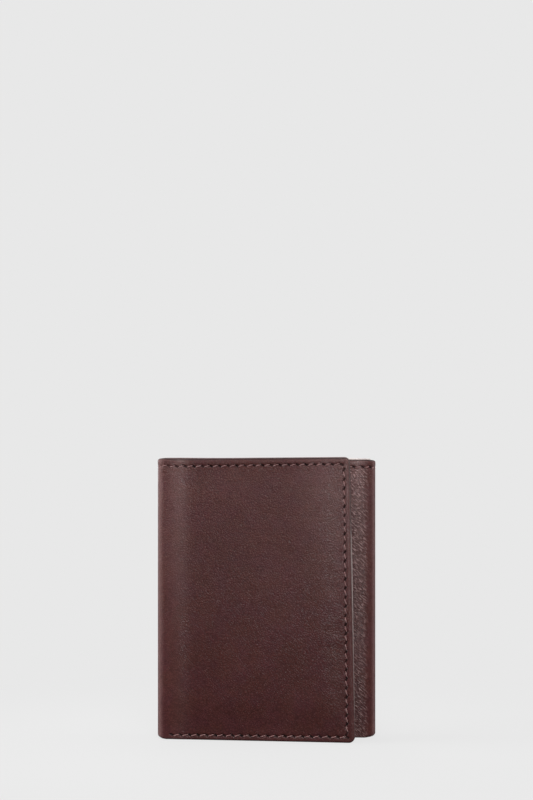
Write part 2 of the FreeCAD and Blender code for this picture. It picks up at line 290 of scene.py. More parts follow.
def make_seams():
    """The leather's rows; the head row is one row round all the panels and folds."""
    side_count = whole_steps(HEM_Z - FOOT_LINE - 3.0)
    side_length = PITCH * (side_count - 1)
    side_top = (HEM_Z + FOOT_LINE + side_length) / 2
    head_first = SIDE_LINE + PITCH / 2 + 0.4
    head_count = whole_steps(path.end - SIDE_LINE - head_first)
    head_length = PITCH * (head_count - 1)
    foot_count = whole_steps(path.flap - SIDE_LINE, FOOT_PITCH)
    back_count = whole_steps(BACK_END - BACK_START)
    inner_foot_start = INNER_START + FOLD_GAP
    to_fold = head_length + head_first - path.flap
    return {
        "head": Seam((head_first + head_length, HEM_Z), (-1, 0), (0, 1), head_count,
                     drift=lambda a: HEAD_DRIFT * smooth(a, to_fold, head_length)),
        "side": Seam((SIDE_LINE, side_top), (0, -1), (-1, 0), side_count,
                     drift=lambda a: SIDE_DRIFT * (0.7 - np.clip(a / side_length, 0, 1))),
        "foot": Seam((SIDE_LINE + PITCH * 0.6, FOOT_LINE), (1, 0), (0, -1), foot_count, FOOT_PITCH,
                     lambda a: -FOOT_DRIFT * (1 - np.clip(a / path.flap, 0, 1))),
        "back_foot": Seam((BACK_START + PITCH * 0.7, FOOT_LINE), (1, 0), (0, -1), back_count),
        "inner_side": Seam((path.end - SIDE_LINE, side_top - side_length), (0, 1), (1, 0), side_count),
        "inner_foot": Seam((inner_foot_start, FOOT_LINE), (1, 0), (0, -1),
                           whole_steps(path.end - SIDE_LINE - inner_foot_start)),
    }


SEAMS = make_seams()


# -------- the shape of the leather
def on_flats(c):
    """1 on the three wide panels and 0 on the folds."""
    beyond, soften = 9.0, 1.5
    panels = ((-beyond, path.flap), (BACK_START, BACK_END), (INNER_START, path.end + beyond))
    total = 0.0
    for start, end in panels:
        ended = smooth(c, end - soften, end + soften)
        total = total + smooth(c, start - soften, start + soften) * (1 - ended)
    return total


def drawn_in(c, z):
    """The folds' lower and upper corners are rounded: the leather draws in there."""
    on_fold = (1 - smooth(np.abs(c - MID_LEFT), 3.0, 9.0)) + (1 - smooth(np.abs(c - MID_RIGHT), 3.0, 9.0))

    def corner(distance, radius):
        gone = np.clip(radius - distance, 0, radius)
        return radius - np.sqrt(radius**2 - gone**2)

    return on_fold * (corner(z, FOLD_FOOT_R) + corner(HEIGHT - z, FOLD_HEAD_R))


# Ridges and valleys where each fold meets its flap: place from the crease's end, height and width, in mm
FRONT_RIDGES = ((-4.2, 0.36, 3.2), (0.6, -0.2, 1.3), (3.2, 0.1, 1.3))
INNER_RIDGES = ((1.6, 0.1, 2.4), (-2.3, -0.2, 1.2), (-4.6, 0.08, 1.0))


def creased(c, z):
    """How far the leather stands out in the ridges and valleys; they fade out at the head."""

    def standing(crease, ridges):
        return sum(height * bump(c, crease + place, width) for place, height, width in ridges)

    both = standing(path.flap, FRONT_RIDGES) + standing(INNER_START, INNER_RIDGES)
    return both * smooth(HEIGHT - z, 0, 6)


def puckered(c, z):
    """Small uneven swells where stitches pull the front flap's leather, beside its free edge and head."""
    wave = np.sin(z * 0.83 + 0.7 * np.sin(z * 0.31)) + 0.6 * np.sin(z * 0.47 + 1.9)
    beside = smooth(c, SIDE_LINE + 0.5, SIDE_LINE + 3) * (1 - smooth(c, SIDE_LINE + 5, SIDE_LINE + 13))
    across = np.sin(c * 0.71 + 0.8 * np.sin(c * 0.23)) + 0.5 * np.sin(c * 0.39 + 0.6)
    below = HEM_Z - z
    under = smooth(below, 0.5, 3) * (1 - smooth(below, 4, 10))
    under = under * (1 - smooth(c, path.flap - 6, path.flap - 1))
    return 0.035 * wave * beside * smooth(z, 8, 30) * smooth(below, 0, 4) + 0.025 * across * under


def padding(c, z):
    """The leather swells a little between the seams and is drawn tight over the front fold."""
    from_side = np.minimum(c - SIDE_LINE, path.end - SIDE_LINE - c)
    from_ends = np.minimum(HEM_Z - z, z - FOOT_LINE)
    from_fold = np.minimum(np.abs(c - MID_LEFT), np.abs(c - MID_RIGHT))
    swell = np.where(c > INNER_CREASE[0], 0.2, 0.6) * smooth(from_side, 0, 10) * smooth(from_ends, 0, 15)
    swell = swell * smooth(from_fold, 2.5, 10)
    edge_roll = 0.08 * bump(z, HEIGHT - HEM_LINE / 2, 0.8)
    return -swell - edge_roll - creased(c, z) - puckered(c, z)


def leather_face(c, z):
    """Depth of the leather's outer face, and how deep in a slit each point lies."""
    depth, pit = padding(c, z), 0.0
    drawn_tight = 1 - 0.75 * bump(c, path.flap + 3, 5.0)
    for seam in SEAMS.values():
        groove, slit = seam.marks(c, z)
        slit = slit * drawn_tight
        depth = depth + groove + slit * SLIT_DEPTH
        # each slit is also painted near black in the material, as painted shade inside the cut
        pit = np.maximum(pit, slit)
    return depth, pit


def leather_wear(c, z, rim):
    """Rubbed a little along the edges; painted highlights beside the two front folds, on their ridges and
    on the panels next to them, stronger towards the head, and on the front flap's upper part near its free
    edge.
    """
    height = z / HEIGHT
    # all terms but the rim's are painted highlights, not wear
    front_ridge = bump(c, path.flap - 4.5, 4.0) * (0.08 + 0.24 * height**2)
    front_side = 0.5 * bump(c, path.flap + 4.5, 1.8)
    inner_ridge = bump(c, INNER_START + 2.5, 3.2) * (0.06 + 0.34 * height**2)
    inner_side = 0.4 * bump(c, INNER_START - 4.9, 1.2)
    free_edge_highlight = 0.2 * (1 - smooth(c, 4, 28)) * smooth(height, 0.35, 0.9)
    return np.clip(0.12 * rim + front_ridge + front_side + inner_ridge + inner_side + free_edge_highlight, 0, 1)


def leather_edge_shade(c, z):
    """The turned edge gets painted shade along its head, where the inner wall meets the hem, and a little
    along the front flap's free side.
    """
    return np.maximum(0.8 * smooth(z, HEIGHT - 0.65, HEIGHT - 0.3), 0.25 * (1 - smooth(c, 0.05, 0.4)))


def leather_back(c, z):
    """Depth of the leather's inner side: thicker where the edge is turned in."""
    hem_foot = HEIGHT - HEM_HEIGHT
    head = (HEM_IN - SHELL) * smooth(z, hem_foot - SOFTEN, hem_foot + SOFTEN)
    from_side = np.minimum(c, path.end - c)
    side_seam = 1 - smooth(from_side, SEAM_WIDTH - SOFTEN, SEAM_WIDTH + SOFTEN)
    foot_seam = (1 - smooth(z, SEAM_WIDTH - SOFTEN, SEAM_WIDTH + SOFTEN)) * on_flats(c)
    return SHELL + np.maximum(head, (WALL_OUT - TOUCH - SHELL) * np.maximum(side_seam, foot_seam))


# -------- mesh building
SHARP_DEG = 55.0


def add_object(name, data):
    obj = bpy.data.objects.new(name, data)
    bpy.context.scene.collection.objects.link(obj)
    return obj


class Skin:
    """Points in mm with faces, texture places and shading values, collected for one piece."""

    def __init__(self):
        self.points, self.uv, self.pit, self.wear, self.faces = [], [], [], [], []
        self.count = 0

    def add(self, points, uv, quads, pit=0.0, wear=0.0):
        """Adds a closed shape, with its quads turned to face outwards."""
        points, uv, quads = points.reshape(-1, 3), uv.reshape(-1, 2), np.asarray(quads)
        corners = points[quads]
        volume = np.einsum("ij,ij->", np.cross(corners[:, 0], corners[:, 1]), corners[:, 2])
        volume += np.einsum("ij,ij->", np.cross(corners[:, 0], corners[:, 2]), corners[:, 3])
        if volume < 0:
            quads = quads[:, ::-1]
        self.points.append(points)
        self.uv.append(uv)
        self.pit.append(np.broadcast_to(pit, len(points)).ravel())
        self.wear.append(np.broadcast_to(wear, len(points)).ravel())
        self.faces.append(quads + self.count)
        self.count += len(points)

    def make(self, name, material):
        mesh = bpy.data.meshes.new(name)
        faces = [face for block in self.faces for face in block.tolist()]
        mesh.from_pydata((np.concatenate(self.points) * MM).tolist(), [], faces)
        corner_points = np.zeros(len(mesh.loops), np.int32)
        mesh.loops.foreach_get("vertex_index", corner_points)
        layer = mesh.uv_layers.new(name="sheet")
        layer.data.foreach_set("uv", np.concatenate(self.uv)[corner_points].astype(np.float32).ravel())
        # painted shade, and wear with its painted highlights, go to the material as point attributes
        for label, values in (("pit", self.pit), ("wear", self.wear)):
            attribute = mesh.attributes.new(label, "FLOAT", "POINT")
            attribute.data.foreach_set("value", np.concatenate(values).astype(np.float32))
        mesh.polygons.foreach_set("use_smooth", np.ones(len(mesh.polygons), bool))
        mesh.set_sharp_from_angle(angle=math.radians(SHARP_DEG))
        mesh.materials.append(material)
        return add_object(name, mesh)


def grid_faces(columns, rows):
    """Quads of a grid of points numbered row by row within each column."""
    index = np.arange(columns * rows).reshape(columns, rows)
    quads = [index[:-1, :-1], index[:-1, 1:], index[1:, 1:], index[1:, :-1]]
    return np.stack([q.ravel() for q in quads], -1)


def lines(start, end, step, seams=(), fine_ends=True):
    """Grid lines from start to end, closer together across each seam and near rounded ends."""
    values = np.linspace(start, end, max(2, round((end - start) / step) + 1))
    for seam in seams:
        values = values[np.abs(values - seam) > abs(SEAM_OFFSETS[0]) + 0.1]
        values = np.concatenate([values, seam + np.array(SEAM_OFFSETS)])
    if fine_ends:
        values = np.concatenate([values, [start + 0.5, start + 1.2, end - 1.2, end - 0.5]])
    values = np.unique(np.round(values, 4))
    return values[(values > start - 0.001) & (values < end + 0.001)]


def edge_share(value, low, high, reach, free_low, free_high):
    """Each value's nearest place clear of the free edges, and its share of the way on to the edge."""
    core = value
    if free_low:
        core = np.maximum(core, low + reach)
    if free_high:
        core = np.minimum(core, high - reach)
    return core, (value - core) / reach


def rim_rings(near_edge, far_edge, between_start, rings):
    """Quads of the rim, from one face's edge points over the rings between them to the other's."""
    size = len(near_edge)
    between = between_start + np.arange(size * (rings - 1)).reshape(-1, size)
    rows = [near_edge, *between, far_edge]
    return [np.stack([first, np.roll(first, -1), np.roll(second, -1), second], -1)
            for first, second in zip(rows, rows[1:])]


def depths(function, c, z):
    """A face's depth, and how deep in a slit each point is, which is 0 if the face doesn't say."""
    found = function(c, z)
    depth, pit = found if isinstance(found, tuple) else (found, 0.0)
    return np.broadcast_to(depth, c.shape), np.broadcast_to(pit, c.shape)


def nearest_side(c, z, cols, rows, free):
    """Distance to the nearest free side."""
    gaps = {"l": c - cols[0], "r": cols[-1] - c, "f": z - rows[0], "h": rows[-1] - z}
    return np.minimum.reduce([gaps[side] for side in free])


def sheet(skin, cols, rows, near, far, rim=RIM, free="lrfh", corner=1.0, shift=None, draped=True, rings=6,
          wear=lambda c, z, rim: rim, edge_shade=None):
    """Adds a closed sheet: an outer face, an inner face and a rim that rounds over the free sides.

    near and far give the faces' depths at (c, z), and near may also say how deep in a slit a point is.
    free names the rounded sides: l and r for the first and last column, f and h for foot and head.
    The last two give how rubbed each point is, with painted highlights added, and how much painted shade it
    gets.
    """
    c, z = np.meshgrid(cols, rows, indexing="ij")
    core_c, share_c = edge_share(c, cols[0], cols[-1], corner, "l" in free, "r" in free)
    core_z, share_z = edge_share(z, rows[0], rows[-1], corner, "f" in free, "h" in free)
    round_c = share_c * np.sqrt(1 - share_z**2 / 2)
    round_z = share_z * np.sqrt(1 - share_c**2 / 2)

    def spread(inset, pick):
        reach = corner - inset
        return core_c[pick] + round_c[pick] * reach, core_z[pick] + round_z[pick] * reach

    index = np.arange(c.size).reshape(c.shape)
    loop = np.concatenate([index[:, 0], index[-1, 1:], index[-2::-1, -1], index[0, -2:0:-1]])
    edge = np.unravel_index(loop, c.shape)
    face_c, face_z = spread(rim, (slice(None), slice(None)))
    near_depth, pit = depths(near, face_c, face_z)
    far_depth, _ = depths(far, face_c, face_z)

    # each part of the sheet: columns, heights, depths, slits and how near its rim each point is
    near_rim = 1 - smooth(nearest_side(face_c, face_z, cols, rows, free), 0.3, 1.6)
    parts = [(face_c, face_z, near_depth, pit, near_rim)]
    for k in range(1, rings):
        turn = math.pi * k / rings
        ring_c, ring_z = spread(rim * (1 - math.sin(turn)), edge)
        mix = (1 - math.cos(turn)) / 2
        depth = near_depth[edge] * (1 - mix) + far_depth[edge] * mix
        ring_near_rim = np.full(len(loop), 1.0 if turn < math.pi / 2 + 0.1 else 0.5)
        parts.append((ring_c, ring_z, depth, pit[edge] * (1 - mix), ring_near_rim))
    nothing = np.zeros(c.shape)
    parts.append((face_c, face_z, far_depth, nothing, nothing))
    joined = [np.concatenate([values.ravel() for values in kind]) for kind in zip(*parts)]
    all_c, all_z, all_d, dark, near_rim = joined
    if shift is not None:
        all_d = all_d + shift(all_c, all_z)
    # painted shade along edges joins the slits' painted shade
    if edge_shade is not None:
        dark = np.maximum(dark, edge_shade(all_c, all_z))
    points = path.place(all_c, all_z, all_d, draped)
    uv = np.stack([all_c + all_d * 0.9, all_z + all_d * 0.9], -1)
    back_start = c.size + (rings - 1) * len(loop)
    quads = [grid_faces(*c.shape), grid_faces(*c.shape)[:, ::-1] + back_start]
    quads += rim_rings(loop, loop + back_start, c.size, rings)
    skin.add(points, uv, np.concatenate(quads), dark, wear(all_c, all_z, near_rim))


def even(depth):
    """A face at one depth all over."""
    return lambda c, z: np.full(np.shape(c), float(depth))


def stitch_quads(steps, around):
    """Quads of a closed round bar: its side and both ends."""
    index = np.arange(steps * around).reshape(steps, around)
    closing = np.stack([index[:-1, -1], index[:-1, 0], index[1:, 0], index[1:, -1]], -1)
    ends = []
    for row in (index[0], index[-1][::-1]):
        for k in range(around // 2 - 1):
            ends.append([row[k], row[k + 1], row[around - 2 - k], row[around - 1 - k]])
    return np.concatenate([grid_faces(steps, around), closing, np.array(ends)])


def thread(skin, seam, picks, face, radius=THREAD_R, inwards=False, draped=True):
    """Adds the stitches of a seam: short arched lengths that dive into the leather at both ends."""
    around, steps = 8, 10
    turn = np.linspace(0, 2 * math.pi, around, endpoint=False)
    cos, sin = np.cos(turn)[None, :, None], np.sin(turn)[None, :, None]
    half = HALF_STITCH + DIVE
    a = np.linspace(-1, 1, steps) * half
    end = np.abs(a) / half
    swell = radius * np.sqrt(np.clip(1 - end**6 * 0.8, 0.05, 1))
    lift = radius * 0.35 - (radius + 0.3) * end**4
    lift = -lift if inwards else lift
    small = 0.1  # a short step, to find the directions over and across the stitch
    for i in picks:
        c, z = seam.spot(i, a, SLOPE * a).T
        depth = face(c, z) - lift
        middle = path.place(c, z, depth, draped)
        over = path.place(c, z, depth - small, draped) - middle
        across_c, across_z = seam.spot(i, a, SLOPE * a + small).T
        across = path.place(across_c, across_z, depth, draped) - middle
        over /= np.linalg.norm(over, axis=1)[:, None]
        across /= np.linalg.norm(across, axis=1)[:, None]
        ring = cos * across[:, None, :] + sin * over[:, None, :]
        points = middle[:, None, :] + ring * swell[:, None, None]
        uv = np.stack(np.broadcast_arrays(a[:, None] + i * seam.pitch, turn[None, :] * radius), -1)
        skin.add(points, uv, stitch_quads(steps, around))


# -------- materials
class Nodes:
    """A short way to write the node tree of a material or a world."""

    def __init__(self, owner):
        owner.use_nodes = True
        self.owner = owner
        self.tree = owner.node_tree
        self.surface = self.tree.nodes.get("Principled BSDF")

    def add(self, kind, inputs=None, **settings):
        node = self.tree.nodes.new(kind)
        for key, value in settings.items():
            setattr(node, key, value)
        for key, value in (inputs or {}).items():
            self.feed(node, key, value)
        return node

    def feed(self, node, key, value):
        if isinstance(value, bpy.types.NodeSocket):
            self.tree.links.new(value, node.inputs[key])
        else:
            node.inputs[key].default_value = value

    def dress(self, inputs):
        """Feeds the material's surface, and gives the material."""
        for key, value in inputs.items():
            self.feed(self.surface, key, value)
        return self.owner

    def math(self, operation, first, second=0.0):
        return self.add("ShaderNodeMath", {0: first, 1: second}, operation=operation).outputs[0]

    def plus(self, first, second):
        return self.math("ADD", first, second)

    def times(self, first, second):
        return self.math("MULTIPLY", first, second)

    def remap(self, value, low, high, to_low=0.0, to_high=1.0):
        inputs = {"Value": value, "From Min": low, "From Max": high, "To Min": to_low, "To Max": to_high}
        return self.add("ShaderNodeMapRange", inputs, interpolation_type="SMOOTHSTEP").outputs[0]

    def mix(self, factor, first, second, blend="MIX"):
        inputs = {0: factor, 6: first, 7: second}
        return self.add("ShaderNodeMix", inputs, data_type="RGBA", blend_type=blend).outputs[2]

    def attribute(self, name):
        return self.add("ShaderNodeAttribute", attribute_name=name).outputs["Fac"]

    def sheet_place(self, scale=(1, 1, 1), turn=0.0):
        """Texture place in mm on the flat sheet, turned and then stretched."""
        place = self.add("ShaderNodeUVMap", uv_map="sheet").outputs["UV"]
        turned = self.add("ShaderNodeMapping", {"Vector": place, "Rotation": (0, 0, turn)}).outputs[0]
        return self.add("ShaderNodeMapping", {"Vector": turned, "Scale": scale}).outputs[0]

    def noise(self, place, scale, detail=3.0, rough=0.55):
        inputs = {"Vector": place, "Scale": scale, "Detail": detail, "Roughness": rough}
        return self.add("ShaderNodeTexNoise", inputs).outputs["Fac"]

    def wave(self, place, scale, distortion):
        inputs = {"Vector": place, "Scale": scale, "Distortion": distortion}
        return self.add("ShaderNodeTexWave", inputs).outputs["Fac"]

    def bumped(self, height, distance, strength=1.0, under=None):
        inputs = {"Height": height, "Distance": distance, "Strength": strength}
        if under is not None:
            inputs["Normal"] = under
        return self.add("ShaderNodeBump", inputs).outputs[0]


def colour(*rgb):
    """A linear colour from the usual 0 to 255 values."""
    values = [v / 255 for v in rgb]
    return [v / 12.92 if v <= 0.04045 else ((v + 0.055) / 1.055) ** 2.4 for v in values] + [1.0]


WARM_DYE = colour(86, 50, 40)
COOL_DYE = colour(76, 40, 48)
# painted glints on the grain, standing in for its fine highlights
GRAIN_GLINT = colour(134, 102, 98)
# painted highlight on the inner fold's wrinkles
WRINKLE_HIGHLIGHT = colour(146, 118, 116)
# painted shade in the needle slits and along the dark edge lines
SHADE_BLACK = (0.004, 0.001, 0.001, 1)
GRAIN_HEIGHT = 0.00012
WRINKLE_HEIGHT = 0.00025


def leather(name, dark, light, edge, grain=1.0):
    """Fine pebbled calf: cells with creases between, cloudy dye, paler worn edges with painted highlights
    beside the folds, painted glints on the grain, and painted shade in the needle slits and along edges.
    """
    n = Nodes(bpy.data.materials.new(name))
    place = n.sheet_place()
    upwards = n.add("ShaderNodeSeparateXYZ", {0: place}).outputs["Y"]
    warp = n.add("ShaderNodeTexNoise", {"Vector": place, "Scale": 0.9, "Detail": 2.0}).outputs["Color"]
    bent = n.mix(0.12, place, warp, "ADD")
    cells = n.add("ShaderNodeTexVoronoi", {"Vector": bent, "Scale": 1.1}, feature="DISTANCE_TO_EDGE")
    pebble = n.remap(cells.outputs["Distance"], 0.0, 0.22)
    pores = n.noise(place, 1.5, 2.0, 0.6)
    clouds = n.noise(place, 0.05, 4.0, 0.6)
    patches = n.noise(place, 0.35, 3.0, 0.6)
    height = n.plus(n.times(pebble, 0.5), pores)

    # colour: cloudy dye, painted glints on the grain that grow towards the head, then wear with painted
    # highlights, and painted shade in the slits and along edges
    tone = n.plus(n.times(clouds, 0.3), n.times(patches, 0.25))
    tone = n.plus(tone, n.times(height, 0.4))
    base = n.mix(n.remap(tone, 0.35, 0.95), dark, light)
    hue = n.remap(n.noise(place, 0.11, 2.0, 0.5), 0.35, 0.65)
    base = n.mix(0.25, base, n.mix(hue, WARM_DYE, COOL_DYE), "COLOR")
    # painted glints, stronger towards the head
    glints = n.remap(n.noise(place, 1.7, 2.0, 0.6), 0.54, 0.68)
    glints = n.times(glints, n.remap(upwards, 10, 90, 0.01, 0.22))
    base = n.mix(glints, base, GRAIN_GLINT)
    wear, pit = n.attribute("wear"), n.attribute("pit")
    # the edge colour comes in with wear and with the painted highlights beside the folds
    base = n.mix(n.times(wear, n.remap(patches, 0.2, 0.7, 0.6, 1.0)), base, edge)
    # painted shade in the slits and along edges
    base = n.mix(pit, base, SHADE_BLACK)

    # relief: slow unevenness under the grain
    soft = n.bumped(n.noise(n.sheet_place((0.35, 0.12, 1), 0.6), 1.0, 3.0, 0.6), 0.00025, 0.5)
    raised = n.times(height, n.remap(upwards, 5, 95, 0.45, 1.25))
    normal = n.bumped(raised, GRAIN_HEIGHT * grain, 1.0, soft)
    if name == "cover_leather":
        folds = inner_fold_wrinkles(n)
        normal = n.bumped(folds, WRINKLE_HEIGHT, 1.0, normal)
        # the wrinkles also get a painted highlight, stronger towards the head
        base = n.mix(n.times(folds, 0.75), base, WRINKLE_HIGHLIGHT)
    rough = n.remap(n.plus(pores, n.times(clouds, 0.5)), 0.5, 1.0, 0.30, 0.42)
    return n.dress({
        "Base Color": base,
        "Normal": normal,
        "Roughness": n.plus(rough, n.times(pit, 0.4)),
        "IOR": 1.46,
        "Specular IOR Level": n.remap(wear, 0.0, 0.7, 0.32, 0.8),
    })


def inner_fold_wrinkles(n):
    """Fine slanting wrinkles where the inner flap turns into its fold, deepest near the head."""
    across = n.add("ShaderNodeSeparateXYZ", {0: n.sheet_place()}).outputs
    near = n.math("SUBTRACT", across["X"], float(INNER_START) + 3.0)
    beside = n.remap(n.math("ABSOLUTE", near), 2.5, 5.5, 1.0, 0.0)
    upper = n.remap(across["Y"], 15.0, 95.0, 0.5, 1.0)
    upper = n.times(upper, n.remap(across["Y"], HEM_Z - 1.0, HEM_Z, 1.0, 0.0))
    wrinkle = n.noise(n.sheet_place((0.6, 2.0, 1), math.radians(-42)), 1.0, 1.0, 0.5)
    return n.times(n.remap(wrinkle, 0.47, 0.66), n.times(beside, upper))


def thread_material():
    """Twisted thread with a slight fuzz."""
    n = Nodes(bpy.data.materials.new("thread"))
    twist = n.wave(n.sheet_place(turn=0.7), 1.3, 0.4)
    fuzz = n.noise(n.sheet_place((1, 4, 1)), 3.0, 3.0, 0.7)
    ply = n.times(twist, n.remap(fuzz, 0.2, 0.8, 0.75, 1.0))
    return n.dress({
        "Base Color": n.mix(ply, colour(78, 44, 43), colour(146, 104, 102)),
        "Roughness": n.remap(fuzz, 0.3, 0.7, 0.45, 0.65),
        "Sheen Weight": 0.3,
        "Normal": n.bumped(ply, 0.00008, 0.8),
    })


def cloth_material():
    """Dark twill for the note compartment."""
    n = Nodes(bpy.data.materials.new("lining_cloth"))
    twill = n.wave(n.sheet_place(turn=0.8), 0.8, 0.2)
    weft = n.wave(n.sheet_place(turn=-0.5), 1.6, 0.3)
    weave = n.times(twill, n.remap(weft, 0, 1, 0.5, 1))
    slub = n.noise(n.sheet_place((0.2, 3, 1)), 1.0, 3.0, 0.6)
    shade = n.times(weave, n.remap(slub, 0.3, 0.7, 0.6, 1.0))
    return n.dress({
        "Base Color": n.mix(shade, colour(38, 28, 27), colour(88, 68, 64)),
        "Roughness": n.remap(slub, 0.2, 0.8, 0.7, 0.9),
        "Sheen Weight": 0.4,
        "Normal": n.bumped(weave, 0.0001, 0.8),
    })


def window_material():
    """Soft clear plastic with faint waves and scuffs."""
    n = Nodes(bpy.data.materials.new("clear_window"))
    scuffs = n.noise(n.sheet_place((0.3, 3, 1), 0.5), 1.0, 4.0, 0.7)
    waves = n.noise(n.sheet_place(), 0.06, 2.0, 0.5)
    return n.dress({
        "Base Color": n.mix(scuffs, (0.75, 0.77, 0.78, 1), (0.9, 0.9, 0.9, 1)),
        "Roughness": n.remap(scuffs, 0.3, 0.8, 0.08, 0.3),
        "Alpha": 0.3,
        "Normal": n.bumped(waves, 0.0006, 0.5),
    })


# the cover's edge colour serves both its rubbed rims and its painted highlights
COVER = leather("cover_leather", colour(48, 23, 23), colour(72, 36, 35), colour(112, 84, 82))
# the wall's pale edge colour serves its raw head and the painted highlight beside the front flap
WALL = leather("wall_leather", colour(52, 27, 27), colour(76, 44, 42), colour(200, 191, 187), 0.8)
POCKET = leather("pocket_leather", colour(62, 35, 34), colour(84, 54, 52), colour(100, 72, 70))
CLOTH = cloth_material()
THREAD = thread_material()
CLEAR = window_material()


# -------- pieces
def cad_name(body, kind):
    """A body's CAD node: the back panel's is named back, and a fold's hem thread just thread."""
    return (body + kind).replace("back_panel", "back").replace("fold_hem", "fold")


def span(length, beyond):
    """Start and end of a length, for a sheet that goes this far beyond the leather's free sides."""
    start, end = LENGTHS[length][:2]
    return start - beyond * (length == "front"), end + beyond * (length == "inner")


def lay_length(obj, length, kind, depth):
    """Puts a length of a long piece in place of the solids it spans; the crease's ends at this depth are
    found but not used.
    """
    _, _, crease, first, second = LENGTHS[length]
    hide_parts(cad_name(first, kind), cad_name(second, kind))
    start, end = (Vector(path.place(s, 0.0, depth) * MM) for s in crease)
    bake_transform(obj)


def lay_on(obj, node, body):
    """Puts a piece in place of a CAD node, on its body."""
    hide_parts(node)
    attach(obj, body)


def free_sides(length):
    """Which sides of a length are free edges; the others are cuts where the next length goes on."""
    return {"front": "lfh", "inner": "rfh"}.get(length, "fh")


def make_covers():
    """The outer leather, with the hem, the pressed lines and the slits of its seams."""
    for length in LENGTHS:
        flap = length in ("front", "inner")
        seam = {"front": (SIDE_LINE,), "inner": (path.end - SIDE_LINE,)}.get(length, ())
        cols = lines(*span(length, 0.0), STEP, seam, flap)
        rows = lines(0.0, HEIGHT, STEP if flap else 4 * STEP, (FOOT_LINE, HEM_Z))
        skin = Skin()
        # the cover gets painted highlights beside its folds and painted shade at its head, its free side
        # and its slits
        sheet(skin, cols, rows, leather_face, leather_back, free=free_sides(length),
              corner=FREE_CORNER_R, shift=drawn_in, wear=leather_wear, edge_shade=leather_edge_shade)
        lay_length(skin.make("cover_" + length, COVER), length, "_cover", SHELL / 2)


# Beside the front flap the wall's free side carries a painted highlight below these heights and painted
# shade above them.
SHADED_FROM = (74, 86)  # the heights over which the wall's free side turns from pale to dark


def wall_wear(c, z, rim):
    """The inner flap's wall is cut raw and pale along its head and rubbed a little along its rims; beside
    the front flap its free side gets a painted highlight, a pale line lower down.
    """
    raw = smooth(z, HEIGHT - 0.3, HEIGHT + 0.2) * smooth(c, MID_RIGHT - 4, MID_RIGHT)
    beside_flap_highlight = (1 - smooth(c, -0.5, 0.1)) * smooth(z, 8, 14) * (1 - smooth(z, *SHADED_FROM))
    return rim * (0.1 + 0.9 * raw + 0.3 * beside_flap_highlight)


def wall_edge_shade(c, z):
    """Beside the front flap its free side gets painted shade near the head."""
    return 0.5 * (1 - smooth(c, -0.5, 0.1)) * smooth(z, *SHADED_FROM)


def make_walls():
    """The inner wall of the note compartment, standing a little above the leather."""
    for length in LENGTHS:
        rows = lines(TURN, HEIGHT + INNER_PROUD, 2.5)
        cols = lines(*span(length, INNER_PROUD), 1.0, fine_ends=length in ("front", "inner"))
        skin = Skin()
        # the wall gets a painted highlight and painted shade on its free side beside the front flap
        sheet(skin, cols, rows, even(WALL_OUT), even(WALL_IN), rim=0.15, free=free_sides(length),
              corner=FREE_CORNER_R, wear=wall_wear, edge_shade=wall_edge_shade)
        wall = skin.make("wall_" + length, WALL)
        lay_length(wall, length, "_inner_wall", (WALL_OUT + WALL_IN) / 2)


def make_linings():
    """Cloth behind the leather, inside the note compartment."""
    clear = SEAM_WIDTH + LINING_GAP
    for length in LENGTHS:
        skin = Skin()
        cols = lines(*span(length, -clear), 1.0)
        rows = lines(clear, HEIGHT - HEM_HEIGHT - LINING_GAP, 3.0)
        sheet(skin, cols, rows, even(LINING_OUT), even(LINING_IN), rim=0.1,
              free=free_sides(length), corner=0.5, rings=4)
        lining = skin.make("lining_" + length, CLOTH)
        lay_length(lining, length, "_lining", (SHELL + LINING_IN) / 2)


def leather_under(c, z):
    """Depth of the leather's face beneath a stitch."""
    return padding(c, z) + drawn_in(c, z) + 0.1


def make_rows(node, body, seams, face, **how):
    """All the stitches of these seams as one piece, in place of a CAD node."""
    skin = Skin()
    for seam in seams:
        thread(skin, seam, range(seam.count), face, **how)
    lay_on(skin.make(node.replace("_thread", "_stitches"), THREAD), node, body)


def make_leather_thread():
    """The leather's thread: the head row, cut where the leather is cut, and the rows on each wide panel."""
    head = SEAMS["head"]
    middles = head.start[0] - PITCH * np.arange(head.count)
    for length in LENGTHS:
        start, end = span(length, 0.0)
        skin = Skin()
        thread(skin, head, np.flatnonzero((middles >= start) & (middles < end)), leather_under)
        lay_length(skin.make("hem_thread_" + length, THREAD), length, "_hem_thread", 0.0)
    rows = {"front_flap_seam_thread": (("side", "foot"), "front_flap"),
            "back_foot_thread": (("back_foot",), "back_panel"),
            "inner_flap_seam_thread": (("inner_side", "inner_foot"), "inner_flap")}
    for node, (names, body) in rows.items():
        make_rows(node, body, [SEAMS[name] for name in names], leather_under)


def block(skin, low, high, foot, head, near, far):
    """A hidden sewn edge or floor of a pocket."""
    sheet(skin, lines(low, high, 6.0, fine_ends=False), lines(foot, head, 6.0, fine_ends=False),
          even(near), even(far), rim=0.1, corner=0.3, draped=False, rings=4)


def pocket_face(depth, head):
    """A leaf's inner face, with a pressed line below its turned upper edge."""
    return lambda c, z: depth - GROOVE_DEPTH * bump(z, head - MOUTH_LINE, 0.35)


